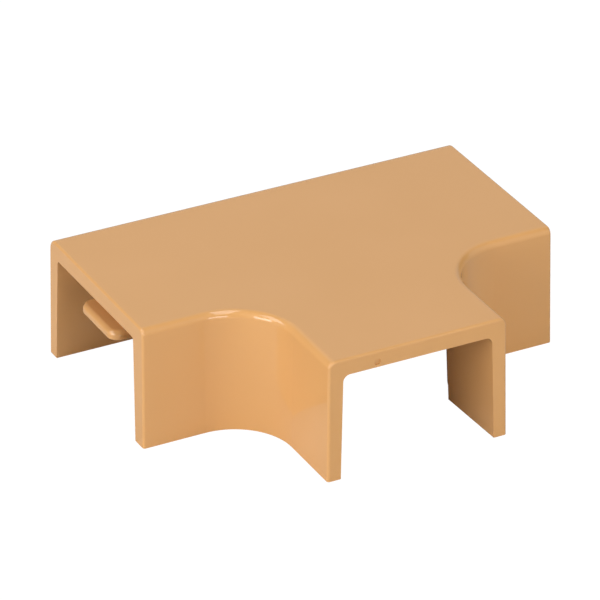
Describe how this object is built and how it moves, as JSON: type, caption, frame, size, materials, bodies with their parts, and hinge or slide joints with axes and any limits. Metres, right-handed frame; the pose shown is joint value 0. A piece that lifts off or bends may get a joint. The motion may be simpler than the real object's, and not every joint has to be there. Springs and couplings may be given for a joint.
{
  "type": "trunking tee fitting",
  "caption": "T-shaped moulded cover for surface trunking: flat plate, side walls with concave elbows, open mouths and underside, and a retaining tongue in each mouth of the run.",
  "frame": {"origin": "centre of the bounding box in plan, at the mounting plane", "axes": "+X along the run, -Y out of the branch mouth, +Z from the mounting plane to the visible plate"},
  "size_m": [0.068, 0.0528, 0.0194],
  "materials": {
    "shell": "semi-gloss moulded plastic, pine beige"
  },
  "bodies": {
    "root": {"tee_cover": "shell"}
  },
  "joints": []
}
